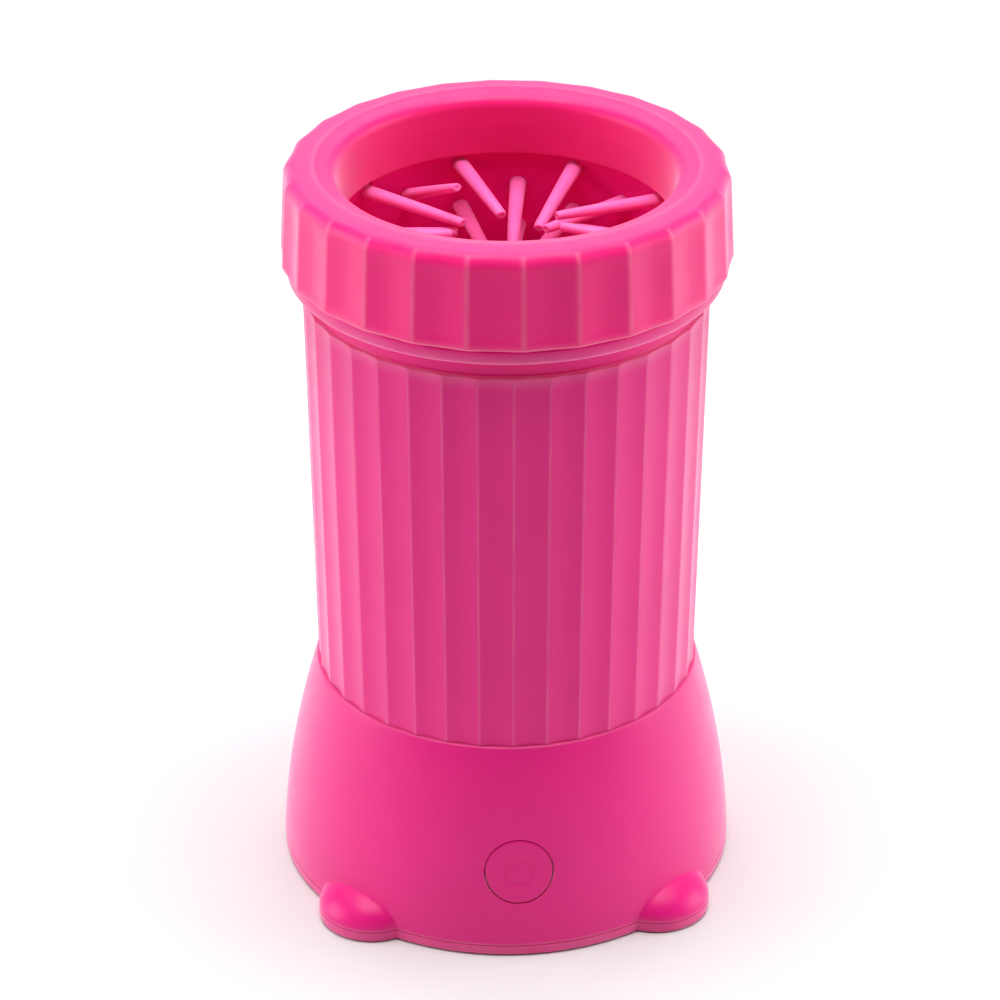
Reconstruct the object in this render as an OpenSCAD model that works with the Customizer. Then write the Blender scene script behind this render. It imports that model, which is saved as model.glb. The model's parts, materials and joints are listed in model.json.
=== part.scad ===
// Electric paw washer cup: a fluted cup with a turning brush, on a base that holds the drive.
// Millimetres, +Z up, origin at the bottom centre, button towards -Y, charge port towards +Y.

/* [Overall] */
// Height of the whole washer
total_h = 165; // [160:1:175]
// Radius of the bell shaped base at the floor
base_r = 50; // [49:0.5:52]
// Height of the base's rim, where the cup lifts out
base_h = 48; // [47:0.5:49]

/* [Cup] */
// Radius of the cup over its flutes, at the base's rim
cup_low_r = 41.4; // [41:0.1:41.8]
// Radius of the cup over its flutes, at the top
cup_top_r = 42.9; // [42.4:0.1:43.2]
// Number of shallow flutes round the cup
cup_flutes = 36; // [24:1:40]
// Depth of each cup flute
cup_flute_depth = 0.4; // [0.3:0.1:0.7]
// Radius of the smooth flange that carries the splash collar
flange_r = 46; // [45:0.5:47]

/* [Splash collar] */
// Radius of the collar over its ridges
collar_r = 47.5; // [47:0.5:49]
// Radius of the throat that the paw goes through
throat_r = 34.6; // [33:0.2:35]
// Number of ridges round the collar
collar_flutes = 26; // [20:1:30]
// Depth of the grooves between the collar's ridges
collar_flute_depth = 0.9; // [0.7:0.1:1.4]

/* [Brush] */
// Bristles in one row
row_bristles = 9; // [6:1:12]
// Rows of bristles, each turned half a step from the next
bristle_rows = 16; // [4:1:16]
// Height between two rows
row_pitch = 5; // [4:0.5:5]
// Length of a bristle from the wall to its blunt tip
bristle_l = 25; // [15:1:26]

/* [Power button] */
// Radius of the round button
button_r = 7.3; // [6:0.1:8]
// Height of the button's centre
button_z = 20.5; // [19:0.1:22]

/* [Feet] */
// Radius of each round foot
foot_r = 11.7; // [10:0.1:12]
// Height of each foot
foot_h = 9.3; // [7:0.1:10]

/* [Hidden] */
$fn = 128;

wall = 2.2;                      // housing wall
gap = 0.3;                       // clearance between parts that move or lift apart
fit = 0.05;                      // radial clearance of a running fit

cover_h = 2.6;                   // top of the bottom cover
cover_z = 0.2;                   // its underside, just above the rubber ring's foot
bell_drop = 8.2;                 // how much the base narrows from the floor to its rim
bell_power = 1.75;               // how late it narrows
deck_z = 41;                     // underside of the base's deck
deck_t = 2;                      // thickness of the deck
foot_at = 44.5;                  // feet: distance of their centres, and their angle from the front
// radius of the ball whose cap is a foot
ball_r = (foot_r * foot_r / (foot_h - cover_h) + foot_h - cover_h) / 2;

flange_z = 140.8;                // flange: from here to where the collar sits
collar_z = 144;
flute_top_z = 136.3;             // the flutes end here, under a plain recessed neck
neck_r = 41.8;
cup_bore_low = 39.1;             // inside radius of the cup at its floor and at its rim
cup_bore_top = 39.6;
cup_floor_z = 48.4;              // top of the cup's floor
spigot_r = 41.6;                 // the cup's rim, which plugs into the collar
spigot_top = 155;

skirt_bore = 43.3;               // inside radius of the collar's skirt
throat_z = 151.6;                // height of the throat's lower edge
crest_r = 41;                    // top of the collar
collar_ridge_at = -89.2;         // angle of one ridge of the collar, and of the cup
cup_ridge_at = -91.2;

drum_r = 38.4;                   // brush drum: outside, inside, bottom and top
drum_bore = 37.2;
drum_z = 49.4;
drum_top = 150;
liner_bore = 36.2;
ledge_z = 62.8;                  // the drum's ledge, which rests on the hub
ledge_t = 1.6;
ledge_bore = 33.8;
hub_z = 60.2;                    // the hub's pierced disc
hub_t = 2.2;
boss_z = 52;                     // underside of the dome in the cup's floor
first_row_z = 149;
first_row_angle = 22.8;
bristle_root_r = 1.85;
bristle_tip_r = 1.15;
droop = 3;                       // how far the bristles hang below level, in degrees

spindle_r = 2.5;
gear_module = 0.5;
pressure_angle = 20;
backlash = 0.12;
output_teeth = 60;
compound_teeth = 56;
small_teeth = 12;
compound_angle = 165;            // where the compound gear stands, seen from the output shaft
pinion_angle = 265;              // where the pinion stands, seen from the compound gear
gear_z = 31.6;                   // large compound wheel, then the output wheel above it
gear_t = 3;
plate_z = 28.6;                  // gearbox plate
plate_t = 1.8;
compound_at = polar(gear_module * (output_teeth + small_teeth) / 2, compound_angle);
pinion_at = compound_at + polar(gear_module * (compound_teeth + small_teeth) / 2, pinion_angle);
plate_posts = [[19, 8], [-14, 24.5], [-33.5, -8], [2, -21]];

motor_l = 25.1;
motor_w = 20.1;
motor_d = 15.1;
battery_r = 9.2;
battery_l = 65.2;
battery_at = [0, 21.5, 13.2];
board_y = -38.4;                 // front face of the circuit board
board_w = 34;
board_z = 5;
board_h = 28;
board_t = 1.6;
guide_y = -44.3;                 // inner end of the button's guide ring
bell_lean = atan(bell_drop * bell_power / base_h * pow(button_z / base_h, bell_power - 1));
stem_y = -42.7;                  // where the button meets the switch plunger
port_z = 11.8;                   // centre of the charge port
pocket_y = 47.4;                 // floor of the plug's pocket
plug_w = 21.4;
plug_h = 10.8;
screw_posts = [[31, -30], [-31, -30], [38.5, 14], [-38.5, 14]];
ring_r = 33.5;                   // anti slip ring
ring_w = 4;

lead_r = 1;
motor_route = [[-22, -19.8, 8], [-22, -24, 8], [-21, -29, 9], [-17, -33, 11], [-14, -34, 12],
               [-14, -36.8, 12]];
battery_route = [[32.6, 21.5, 15], [35, 21.5, 15], [37, 18, 18], [35, 8, 21], [32, -8, 20],
                 [25, -24, 16], [15, -33, 14], [11, -35, 14], [11, -36.8, 14]];
battery_return = [[-32.6, 21.5, 17], [-35, 21.5, 17], [-37, 22, 20], [-33, 22, 24],
                  [-16, 21, 24.6], [8, 21, 24.6], [25, 18, 25], [30, 4, 25], [29, -12, 22],
                  [23, -26, 18], [15, -33, 17], [11, -35, 17], [11, -36.8, 17]];
port_route = [[5, 33.5, 9.6], [5, 32.4, 12], [5, 32.6, 20], [6, 28.5, 26.9], [8, 14, 26.9],
              [10, 0, 24], [9, -18, 20], [6, -32, 13], [5, -34, 12], [5, -36.8, 12]];

plastic = [0.93, 0.24, 0.58];
soft_plastic = [0.95, 0.32, 0.62];
steel = [0.75, 0.76, 0.78];
nylon = [0.92, 0.91, 0.86];

function polar(r, a) = [r * cos(a), r * sin(a)];
function bell_r(z) = base_r - bell_drop * pow(max(z, 0) / base_h, bell_power);
function arc(x, z, rx, rz, from, to, steps) =
    [for (i = [0:steps]) let (a = from + (to - from) * i / steps) [x + rx * cos(a), z + rz * sin(a)]];

// ---- Shared shapes ----

module tube(outer, inner, z, h) {
    translate([0, 0, z]) difference() {
        cylinder(r = outer, h = h);
        translate([0, 0, -1]) cylinder(r = inner, h = h + 2);
    }
}

module pin(r, z, h) translate([0, 0, z]) cylinder(r = r, h = h);

module at_posts(places, z) for (p = places) translate([p.x, p.y, z]) children();

// Cutters for round grooves in a wall whose radius goes from low at z0 to top at z1.
// They run past the wall's ends by before and after, and a ridge stands at the angle start.
module flutes(count, low, top, z0, z1, depth, cutter, start, before, after) {
    lean = atan((top - low) / (z1 - z0));
    for (i = [0:count - 1]) rotate(start + (i + 0.5) * 360 / count)
        translate([low + cutter - depth, 0, z0]) rotate([0, lean, 0]) translate([0, 0, -before])
            cylinder(r = cutter, h = z1 - z0 + before + after);
}

// An annular sector
module sector(inner, outer, z, h, from, width)
    translate([0, 0, z]) rotate(from) rotate_extrude(angle = width)
        translate([inner, 0]) square([outer - inner, h]);

// Flat cut on a round shaft, as a solid to take away or a key to leave
module d_flat(r, z, h) translate([r - 0.6, -r, z]) cube([r, 2 * r, h]);

module screw(head_r, head_h, shank_r, length) {
    difference() {
        cylinder(r = head_r, h = head_h);
        for (a = [0, 90]) rotate(a) translate([-head_r * 0.7, -0.25, -0.01])
            cube([head_r * 1.4, 0.5, head_h * 0.55]);
    }
    cylinder(r = shank_r, h = length);
}

// ---- Gears ----

function unwind(base, r) = let (a = acos(base / r)) tan(a) * 180 / PI - a;

module gear(teeth, z, h, phase, bore) {
    pitch = gear_module * teeth / 2;
    base = pitch * cos(pressure_angle);
    root = pitch - 1.25 * gear_module;
    tip = pitch + 0.95 * gear_module;
    start = max(base, root);
    half = 90 / teeth - backlash / 2 / pitch * 180 / PI + unwind(base, pitch);
    flank = [for (i = [0:3]) let (r = start + (tip - start) * i / 3) [r, half - unwind(base, r)]];
    outline = [for (t = [0:teeth - 1]) let (c = phase + t * 360 / teeth) each concat(
        [polar(root, c - half)], [for (f = flank) polar(f[0], c - f[1])],
        [for (i = [3:-1:0]) polar(flank[i][0], c + flank[i][1])], [polar(root, c + half)])];
    translate([0, 0, z]) difference() {
        linear_extrude(h) polygon(outline);
        translate([0, 0, -1]) cylinder(r = bore, h = h + 2);
    }
}

// ---- Leads: a round wire swept along a smooth curve through its route ----

function spline(p, i, t) = let (
        a = p[max(i - 1, 0)], b = p[i], c = p[i + 1], d = p[min(i + 2, len(p) - 1)])
    0.5 * ((2 * b) + (c - a) * t + (2 * a - 5 * b + 4 * c - d) * t * t
           + (3 * b - a - 3 * c + d) * t * t * t);

module lead(route, shift) {
    path = [for (i = [0:len(route) - 2], t = [0, 0.5]) spline(route, i, t) + shift];
    line = concat(path, [route[len(route) - 1] + shift]);
    n = len(line);
    function along(i) = i == 0 ? [line[1].x - line[0].x, line[1].y - line[0].y, 0]
        : i == n - 1 ? [0, -1, 0] : line[i + 1] - line[i - 1];
    rings = [for (i = [0:n - 1]) let (
            d = along(i) / norm(along(i)), ref = abs(d.z) > 0.8 ? [1, 0, 0] : [0, 0, 1],
            u = cross(ref, d) / norm(cross(ref, d)), v = cross(d, u))
        [for (k = [0:7]) line[i] + lead_r * (u * cos(k * 45) + v * sin(k * 45))]];
    polyhedron(
        points = [for (r = rings) each r],
        faces = concat(
            [[for (k = [0:7]) k]], [[for (k = [7:-1:0]) (n - 1) * 8 + k]],
            [for (i = [0:n - 2], k = [0:7]) let (m = (k + 1) % 8)
                [i * 8 + k, (i + 1) * 8 + k, (i + 1) * 8 + m, i * 8 + m]]));
}

// ---- Splash collar ----

module splash_collar() color(soft_plastic) difference() {
    rotate_extrude() polygon(concat(
        [[skirt_bore, collar_z + gap], [collar_r - 0.4, collar_z + gap],
         [collar_r, collar_z + 0.9], [collar_r - 0.6, 154.4]],
        arc(crest_r, 159.6, 5.4, total_h - 159.6, 0, 90, 8),
        arc(38.6, total_h - 2.6, 3.6, 2.5, 90, 170, 6),
        [[throat_r + 0.3, 158], [throat_r, throat_z], [throat_r + 1.6, throat_z],
         [throat_r + 2.4, 155], [38.6, 160.2], [42, 160.6], [skirt_bore, 158.6]]));
    flutes(collar_flutes, collar_r, collar_r - 0.9, collar_z, 160, collar_flute_depth,
           18, collar_ridge_at, 10, 20);
}

// Round seal that sits in the groove of the cup's rim
module collar_gasket() color([0.9, 0.9, 0.92])
    rotate_extrude() translate([41.95, 148]) circle(r = 1, $fn = 24);

// ---- Cup ----

// Outline of the fluted wall: cup_flutes shallow hollows with a ridge at cup_ridge_at
function fluted_outline(r) = [for (i = [0:cup_flutes * 8 - 1])
    let (a = cup_ridge_at + i * 45 / cup_flutes, hollow = sin(i * 22.5))
    polar(r - cup_flute_depth * hollow * hollow, a)];

// The wall stands on a foot spigot and ends in a rim spigot with the seal's groove, and a dome in
// its floor makes room for the drive dogs
module cup_body() color(plastic) difference() {
    union() {
        translate([0, 0, base_h + 0.1])
            linear_extrude(flute_top_z - base_h - 0.1, scale = cup_top_r / cup_low_r)
                polygon(fluted_outline(cup_low_r));
        pin(39.9, 44.2, 10);
        rotate_extrude() polygon([
            [0, 130], [neck_r, 130], [neck_r, flange_z], [flange_r - 0.6, flange_z],
            [flange_r, flange_z + 0.8], [flange_r, collar_z - 0.5], [flange_r - 0.4, collar_z],
            [spigot_r, collar_z], [spigot_r, 146.9], [40.9, 146.9], [40.9, 149.1],
            [spigot_r, 149.1], [spigot_r, spigot_top - 0.8], [spigot_r - 0.6, spigot_top],
            [0, spigot_top]]);
    }
    rotate_extrude() polygon([
        [0, 57], [5, 57], [5, 58.4], [6.5, 58.4], [6.5, boss_z + 2.2], [11.6, boss_z + 2.2],
        [12, cup_floor_z], [cup_bore_low, cup_floor_z], [cup_bore_top, collar_z],
        [cup_bore_top, total_h], [0, total_h]]);
    rotate_extrude() polygon([
        [0, 40], [37.6, 40], [37.6, 46.4], [10, 46.4], [10, boss_z], [4, boss_z], [4, 57.5],
        [0, 57.5]]);
}

module cup_bush() color([0.85, 0.7, 0.35]) tube(4, spindle_r + fit, boss_z + 0.2, 4.6);

module shaft_seal() color([0.15, 0.15, 0.15]) tube(5, spindle_r + fit, 57, 1.4);

// ---- Brush ----

module brush_drum() color(plastic) {
    tube(drum_r, drum_bore, drum_z, drum_top - drum_z);
    difference() {
        tube(drum_bore + 0.4, ledge_bore, ledge_z, ledge_t);
        for (i = [0:3]) sector(ledge_bore - 1, 36.7, ledge_z - 1, ledge_t + 2, i * 90 - 7, 14);
    }
}

module bristle() {
    translate([0, 0, -0.2]) cylinder(r = bristle_root_r, h = 0.8, $fn = 24);
    cylinder(r1 = bristle_root_r, r2 = bristle_tip_r, h = bristle_l, $fn = 24);
}

module bristle_liner() color(soft_plastic) {
    difference() {
        union() {
            tube(drum_bore - fit, liner_bore, ledge_z + ledge_t + 0.1, drum_top - ledge_z - ledge_t);
            tube(drum_r, liner_bore, drum_top + 0.1, 1);
        }
        // slots that a finger nail or hook lifts the liner by
        for (a = [140, 320]) rotate(a) translate([34, -0.6, 148]) cube([6, 1.2, 4]);
    }
    for (row = [0:bristle_rows - 1], i = [0:row_bristles - 1])
        rotate(first_row_angle + (i + row / 2) * 360 / row_bristles)
            translate([liner_bore + 0.3, 0, first_row_z - row * row_pitch])
                rotate([0, -90 - droop, 0]) bristle();
}

module drive_hub() color(nylon) difference() {
    union() {
        pin(drum_bore - gap, hub_z, hub_t);
        pin(7, 58.6, 7.4);
        for (i = [0:3]) sector(34.4, 36.4, hub_z + hub_t - 0.2, 2, i * 90 - 5, 10);
    }
    difference() {
        pin(spindle_r + 0.02, 50, 30);
        d_flat(spindle_r, 60, 20);
    }
    for (i = [0:11]) rotate(i * 30) translate([27.5, 0, 50]) cylinder(r = 4.5, h = 30);
    for (i = [0:7]) rotate(i * 45) translate([14.5, 0, 50]) cylinder(r = 3.5, h = 30);
}

module hub_screw() color(steel)
    translate([0, 0, 68]) mirror([0, 0, 1]) screw(3.6, 2, 1.45, 9);

module brush_spindle() color(steel) difference() {
    pin(spindle_r, 49.4, 16.6);
    d_flat(spindle_r, 60, 20);
    translate([0, 0, 49]) d_flat(spindle_r, 0, 2.4);
    pin(1.5, 58.5, 20);
}

module dog(z, lug_z, turn, key_z) {
    difference() {
        pin(9, z, 2.2);
        difference() {
            pin(spindle_r + 0.02, z - 1, 5);
            d_flat(spindle_r, key_z, 2.4);
        }
    }
    for (i = [0:2]) sector(4.5, 8.6, lug_z, 3, turn + i * 120 - 25, 50);
}

module driven_dog() color(nylon) dog(49.4, 46.6, 60, 49);
module drive_dog() color(nylon) dog(43.9, 45.9, 0, 43.8);

// ---- Drive ----

module output_shaft() color(steel) difference() {
    pin(spindle_r, 26.4, 19.6);
    d_flat(spindle_r, 43.8, 2.4);
}

module output_gear() color(nylon)
    gear(output_teeth, gear_z + gear_t + 0.6, gear_t, compound_angle, spindle_r + 0.02);

module compound_gear() color(nylon) translate(compound_at) {
    gear(compound_teeth, gear_z, gear_t, pinion_angle, 1 + fit);
    gear(small_teeth, gear_z + gear_t - 0.2, gear_t + 1.2, compound_angle + 180 + 180 / small_teeth,
         1 + fit);
}

module gear_pin() color(steel) translate(compound_at) pin(1, plate_z + 0.1, deck_z - plate_z - 0.1);

module motor_pinion() color([0.8, 0.65, 0.35]) translate(pinion_at)
    gear(small_teeth, gear_z - 0.4, gear_t + 0.8, pinion_angle + 180 + 180 / small_teeth, 1.01);

module motor_shaft() color(steel) translate(pinion_at) pin(1, 12, 23);

module motor_can() color([0.7, 0.71, 0.73]) translate([pinion_at.x, pinion_at.y, 0]) difference() {
    union() {
        intersection() {
            pin(motor_w / 2, plate_z - motor_l, motor_l);
            translate([-motor_w, -motor_d / 2, 0]) cube([2 * motor_w, motor_d, 60]);
        }
        pin(3, plate_z - 1, 2.2);
    }
    pin(1 + fit, 11, 30);
    for (s = [-1, 1]) translate([5.5 * s, 0, plate_z - 4]) cylinder(r = 0.8, h = 10);
}

module motor_screws() color(steel) for (s = [-1, 1])
    translate([pinion_at.x + 5.5 * s, pinion_at.y, plate_z + plate_t + 0.7]) mirror([0, 0, 1])
        screw(1.5, 0.7, 0.75, 5);

module gearbox_plate() color(nylon) difference() {
    union() {
        translate([0, 0, plate_z]) linear_extrude(plate_t) union() {
            polygon(plate_posts);
            for (p = plate_posts) translate(p) circle(r = 4);
            translate(pinion_at) circle(r = 9);
            translate(compound_at) circle(r = 6);
            circle(r = 8);
        }
        pin(5.6, 25, 4);
        translate(compound_at) pin(2.4, 26.6, 3);
    }
    pin(spindle_r + 0.3, 20, 20);
    pin(4, 26, 20);
    translate(compound_at) pin(1, plate_z, 10);
    translate(pinion_at) pin(3.2, 20, 20);
    for (s = [-1, 1]) translate([pinion_at.x + 5.5 * s, pinion_at.y, 20]) cylinder(r = 0.9, h = 20);
    at_posts(plate_posts, 20) cylinder(r = 1.1, h = 20);
}

module gearbox_screws() color(steel) at_posts(plate_posts, plate_z - 1.2) screw(1.9, 1.2, 1, 8);

module lower_bush() color([0.85, 0.7, 0.35]) tube(4, spindle_r + fit, 26, plate_z + plate_t - 26);
module upper_bush() color([0.85, 0.7, 0.35]) tube(4, spindle_r + fit, 39, 3.2);
module base_seal() color([0.15, 0.15, 0.15]) tube(5, spindle_r + fit, 42.2, 1.4);

// ---- Base ----

// The bell shape, drawn in by inset, between two heights
module bell(inset, from, to) rotate_extrude($fn = 240) polygon(concat(
    [[0, from]], [for (i = [0:12]) let (z = from + (to - from) * i / 12) [bell_r(z) - inset, z]],
    [[0, to]]));

// A ball whose cap, above the bottom cover, is the foot
module foot_ball(inset) for (s = [-1, 1]) rotate(-90 + s * foot_at)
    translate([foot_at, 0, foot_h - ball_r]) sphere(r = ball_r - inset);

module base_housing() color(plastic) difference() {
    union() {
        bell(0, cover_h - 1, base_h);
        foot_ball(0);
    }
    difference() {
        union() {
            bell(wall, cover_h - 2, deck_z);
            foot_ball(wall);
        }
        // deck posts that carry the gearbox plate, and the bosses of the bush and the gear pin
        at_posts(plate_posts, plate_z + plate_t) cylinder(r = 3, h = 20);
        pin(7, 38.8, 10);
        translate(compound_at) pin(2.4, 39.4, 10);
        // screw posts for the bottom cover, each with a rib to the wall
        at_posts(screw_posts, 4.6) cylinder(r = 3.2, h = 12);
        for (p = screw_posts) rotate(atan2(p.y, p.x)) translate([norm(p) + 2, -1, 6])
            cube([7, 2, 9]);
        // guide ring of the button, and the thick wall round the charge port
        translate([0, guide_y, button_z]) rotate([90, 0, 0]) cylinder(r = button_r + 2, h = 5);
        translate([-12.5, 44.4, 5]) cube([25, 8, 13.6]);
    }
    // flat underside, where the bottom cover begins
    pin(80, cover_h - 40, 40);
    // socket for the cup
    pin(40.2, deck_z + deck_t, 20);
    pin(4, 30, 20);
    pin(5, 42.2, 20);
    translate(compound_at) pin(1, 30, deck_z - 30);
    at_posts(plate_posts, 20) cylinder(r = 1.02, h = 19);
    at_posts(screw_posts, 0) cylinder(r = 1.25, h = 15);
    translate([0, -30, button_z]) rotate([90, 0, 0]) cylinder(r = button_r + gap, h = 30);
    // pocket and opening of the charge port
    translate([-plug_w / 2 - 0.9, pocket_y, port_z - plug_h / 2 - gap])
        cube([plug_w + 0.9 + gap, 10, plug_h + 2 * gap]);
    translate([-4.7, 40, port_z - 1.8]) cube([9.4, 20, 3.6]);
}

module cover_outline(grow) {
    circle(r = bell_r(cover_h) + grow);
    for (s = [-1, 1]) rotate(-90 + s * foot_at) translate([foot_at, 0]) circle(r = foot_r + grow);
}

module bottom_cover() color(plastic) difference() {
    union() {
        translate([0, 0, cover_z + 0.4]) linear_extrude(cover_h - cover_z - 0.4) cover_outline(0);
        translate([0, 0, cover_z]) linear_extrude(0.5) cover_outline(-0.4);
        at_posts(screw_posts, cover_h - 0.1) cylinder(r = 3.6, h = 1.9);
        // saddles under the battery, and slotted posts that hold the circuit board
        difference() {
            for (x = [-22, 18]) translate([x, battery_at.y - 8, cover_h - 0.1]) cube([4, 16, 6]);
            translate([-50, battery_at.y, battery_at.z]) rotate([0, 90, 0])
                cylinder(r = battery_r + fit, h = 100);
        }
        difference() {
            for (s = [-1, 1]) translate([s * board_w / 2 - 2, board_y - 2, cover_h - 0.1])
                cube([4, board_t + 4, 8]);
            translate([-board_w / 2 - fit, board_y - fit, board_z])
                cube([board_w + 2 * fit, board_t + 2 * fit, 20]);
        }
        translate([-3, 35, cover_h - 0.1]) cube([6, 6, 5.9]);
    }
    at_posts(screw_posts, 0) cylinder(r = 2.6, h = 2.4);
    at_posts(screw_posts, 0) cylinder(r = 1.4, h = 10);
    tube(ring_r + ring_w, ring_r, cover_z - 1, 2);
}

module anti_slip_ring() color([0.2, 0.2, 0.22])
    tube(ring_r + ring_w - fit, ring_r + fit, 0, cover_z + 1);

module base_screws() color(steel) at_posts(screw_posts, 0.8) screw(2.3, 1.5, 1.2, 12);

// ---- Button and electronics ----

module power_button() color(plastic) difference() {
    union() {
        intersection() {
            translate([0, guide_y + 0.6, button_z]) rotate([90, 0, 0]) cylinder(r = button_r, h = 8);
            // the button's face follows the bell's surface
            translate([0, -bell_r(button_z), button_z]) rotate([-bell_lean, 0, 0])
                translate([0, bell_r(button_z), -20]) cylinder(r = bell_r(button_z), h = 40);
        }
        translate([0, guide_y + 1.1, button_z]) rotate([90, 0, 0]) cylinder(r = button_r + 1.4, h = 1);
        translate([0, stem_y - fit, button_z]) rotate([90, 0, 0]) cylinder(r = 1.8, h = 2);
    }
    // engraved on/off sign: an open ring with a bar in its gap
    translate([0, 0, button_z]) rotate([90, 0, 0]) sector(2.2, 3.1, 47.6, 5, 114, 312);
    translate([-0.45, -52, button_z + 0.9]) cube([0.9, 4.4, 2.8]);
}

module switch_plunger() color([0.15, 0.15, 0.15])
    translate([0, stem_y + 2.4, button_z]) rotate([90, 0, 0]) cylinder(r = 1.7, h = 2.4);

module tact_switch() color([0.2, 0.2, 0.22]) difference() {
    translate([-3, board_y - 3.5, button_z - 3]) cube([6, 3.5, 6]);
    translate([0, board_y - 0.4, button_z]) rotate([90, 0, 0]) cylinder(r = 1.7 + fit, h = 5);
}

module status_led() color([0.95, 0.95, 0.85])
    translate([-1.5, board_y - 1, button_z + 4]) cube([3, 1, 2]);

module circuit_board() color([0.1, 0.4, 0.2])
    translate([-board_w / 2, board_y, board_z]) cube([board_w, board_t, board_h]);

module control_chips() color([0.12, 0.12, 0.13]) for (x = [-4, 4])
    translate([x - 2.5, board_y + board_t, 22]) cube([5, 1.5, 4]);

module battery_cell() color([0.25, 0.55, 0.75])
    translate([-battery_l / 2, battery_at.y, battery_at.z]) rotate([0, 90, 0])
        cylinder(r = battery_r, h = battery_l);

module port_board() color([0.1, 0.4, 0.2])
    translate([-9, 33.5, port_z - 3.2]) cube([18, 10.6, 1.6]);

module charge_port() color(steel) difference() {
    translate([-4.5, 39.6, port_z - 1.6]) cube([9, 7.3, 3.2]);
    translate([-4.1, 41, port_z - 1.2]) cube([8.2, 10, 2.4]);
}

module port_plug() color(soft_plastic) {
    intersection() {
        translate([-plug_w / 2 + 0.5, pocket_y + 0.2, port_z - plug_h / 2])
            cube([plug_w - 0.5, 6, plug_h]);
        bell(0, port_z - 8, port_z + 8);
    }
    translate([-4.2, pocket_y - 0.2, port_z - 1.4]) cube([8.4, 0.5, 2.8]);
}

module motor_leads() color([0.75, 0.1, 0.1]) for (s = [0, 1]) lead(motor_route, [4 * s, 0, 0]);

module battery_leads() color([0.75, 0.1, 0.1]) {
    lead(battery_route, [0, 0, 0]);
    lead(battery_return, [0, 0, 0]);
}

module port_leads() color([0.12, 0.12, 0.13]) for (s = [0, 1]) lead(port_route, [-3 * s, 0, 0]);

splash_collar();
collar_gasket();
cup_body();
cup_bush();
shaft_seal();
brush_drum();
bristle_liner();
drive_hub();
hub_screw();
brush_spindle();
driven_dog();
drive_dog();
output_shaft();
output_gear();
compound_gear();
gear_pin();
motor_pinion();
motor_shaft();
motor_can();
motor_screws();
gearbox_plate();
gearbox_screws();
lower_bush();
upper_bush();
base_seal();
base_housing();
bottom_cover();
anti_slip_ring();
base_screws();
power_button();
switch_plunger();
tact_switch();
status_led();
circuit_board();
control_chips();
battery_cell();
charge_port();
port_board();
port_plug();
motor_leads();
battery_leads();
port_leads();
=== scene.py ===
"""Looks of the paw washer cup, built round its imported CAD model.

Sizes are in millimetres until mesh_object() and rounded_box() turn them into metres. Most pieces are
turned on the Z axis from an outline of corners: (radius, height, radius of the corner's round).
"""
import json
import math
import random
import bmesh
import bpy
from mathutils import Matrix, Vector


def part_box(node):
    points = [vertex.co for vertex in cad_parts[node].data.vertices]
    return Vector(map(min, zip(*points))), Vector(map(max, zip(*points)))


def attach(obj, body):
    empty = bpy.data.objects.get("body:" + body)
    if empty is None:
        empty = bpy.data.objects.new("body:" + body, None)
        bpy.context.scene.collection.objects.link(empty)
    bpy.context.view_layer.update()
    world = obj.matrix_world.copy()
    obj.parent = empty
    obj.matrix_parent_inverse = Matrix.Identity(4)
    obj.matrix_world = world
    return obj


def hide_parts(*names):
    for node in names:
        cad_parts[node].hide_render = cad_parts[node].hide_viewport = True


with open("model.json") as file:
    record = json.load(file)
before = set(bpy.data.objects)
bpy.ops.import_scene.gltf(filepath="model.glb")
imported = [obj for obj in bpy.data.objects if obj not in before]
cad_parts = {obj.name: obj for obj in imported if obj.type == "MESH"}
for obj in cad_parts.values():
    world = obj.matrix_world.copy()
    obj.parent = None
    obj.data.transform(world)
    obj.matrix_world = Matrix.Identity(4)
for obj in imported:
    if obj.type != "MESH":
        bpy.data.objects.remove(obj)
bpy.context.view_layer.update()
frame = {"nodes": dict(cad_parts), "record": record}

MM = 0.001


# ---------------------------------------------------------------- sizes from the CAD model

def span(node):
    """(lowest, highest) corner of a CAD node in millimetres."""
    low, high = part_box(node)
    return [v / MM for v in low], [v / MM for v in high]


COLLAR_LOW, COLLAR_HIGH = span("splash_collar")
CUP_HIGH = span("cup_body")[1]
BASE_LOW, BASE_HIGH = span("base_housing")
COVER_LOW = span("bottom_cover")[0]
BUTTON_LOW, BUTTON_HIGH = span("power_button")
PLUG_LOW, PLUG_HIGH = span("port_plug")

# Sizes that no bounding box gives repeat the CAD model's, apart from fine detail that only shows here.
TOP_Z = COLLAR_HIGH[2]
COLLAR_R = 47.5
THROAT_R = 34.6
THROAT_Z = 151.6
LIP_R = 40.0              # fine ledge on the crown
COLLAR_FLUTES = 26
COLLAR_RIDGE_AT = -89.2   # degrees, where one ridge lies
COLLAR_DEPTH = 0.85
COLLAR_SOFTNESS = 0.1     # how blunt the ridges are

SEAM_Z = 48.1             # lower end of the cup's flutes, just above the base
CUP_BOTTOM_Z = 44.2
CUP_FLOOR_Z = 48.4
CUP_RIM_Z = 155.0
CUP_LOW_R = 41.4
CUP_TOP_R = 42.9
CUP_FLUTES = 36
CUP_RIDGE_AT = -91.2
CUP_DEPTH = 0.4
CUP_SOFTNESS = 0.04
FLUTE_TOP_Z = 136.3
NECK_R = 41.8
FLANGE_R = CUP_HIGH[0]
FLANGE_Z = 140.8
FLANGE_TOP_Z = 144.0

BASE_R = 50.0
BASE_Z = BASE_HIGH[2]
COVER_TOP = BASE_LOW[2]
DECK_Z = 43.0             # floor of the socket that the cup stands in
DECK_UNDER_Z = 41.0
WALL = 2.2
FOOT_ANGLE = 44.5         # degrees to either side of the front
FOOT_OUT = 44.5           # distance of a foot's middle from the axis
FOOT_R = 11.7
FOOT_TOP = 9.3
SCREWS_AT = [(31, -30), (-31, -30), (38.5, 14), (-38.5, 14)]

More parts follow.
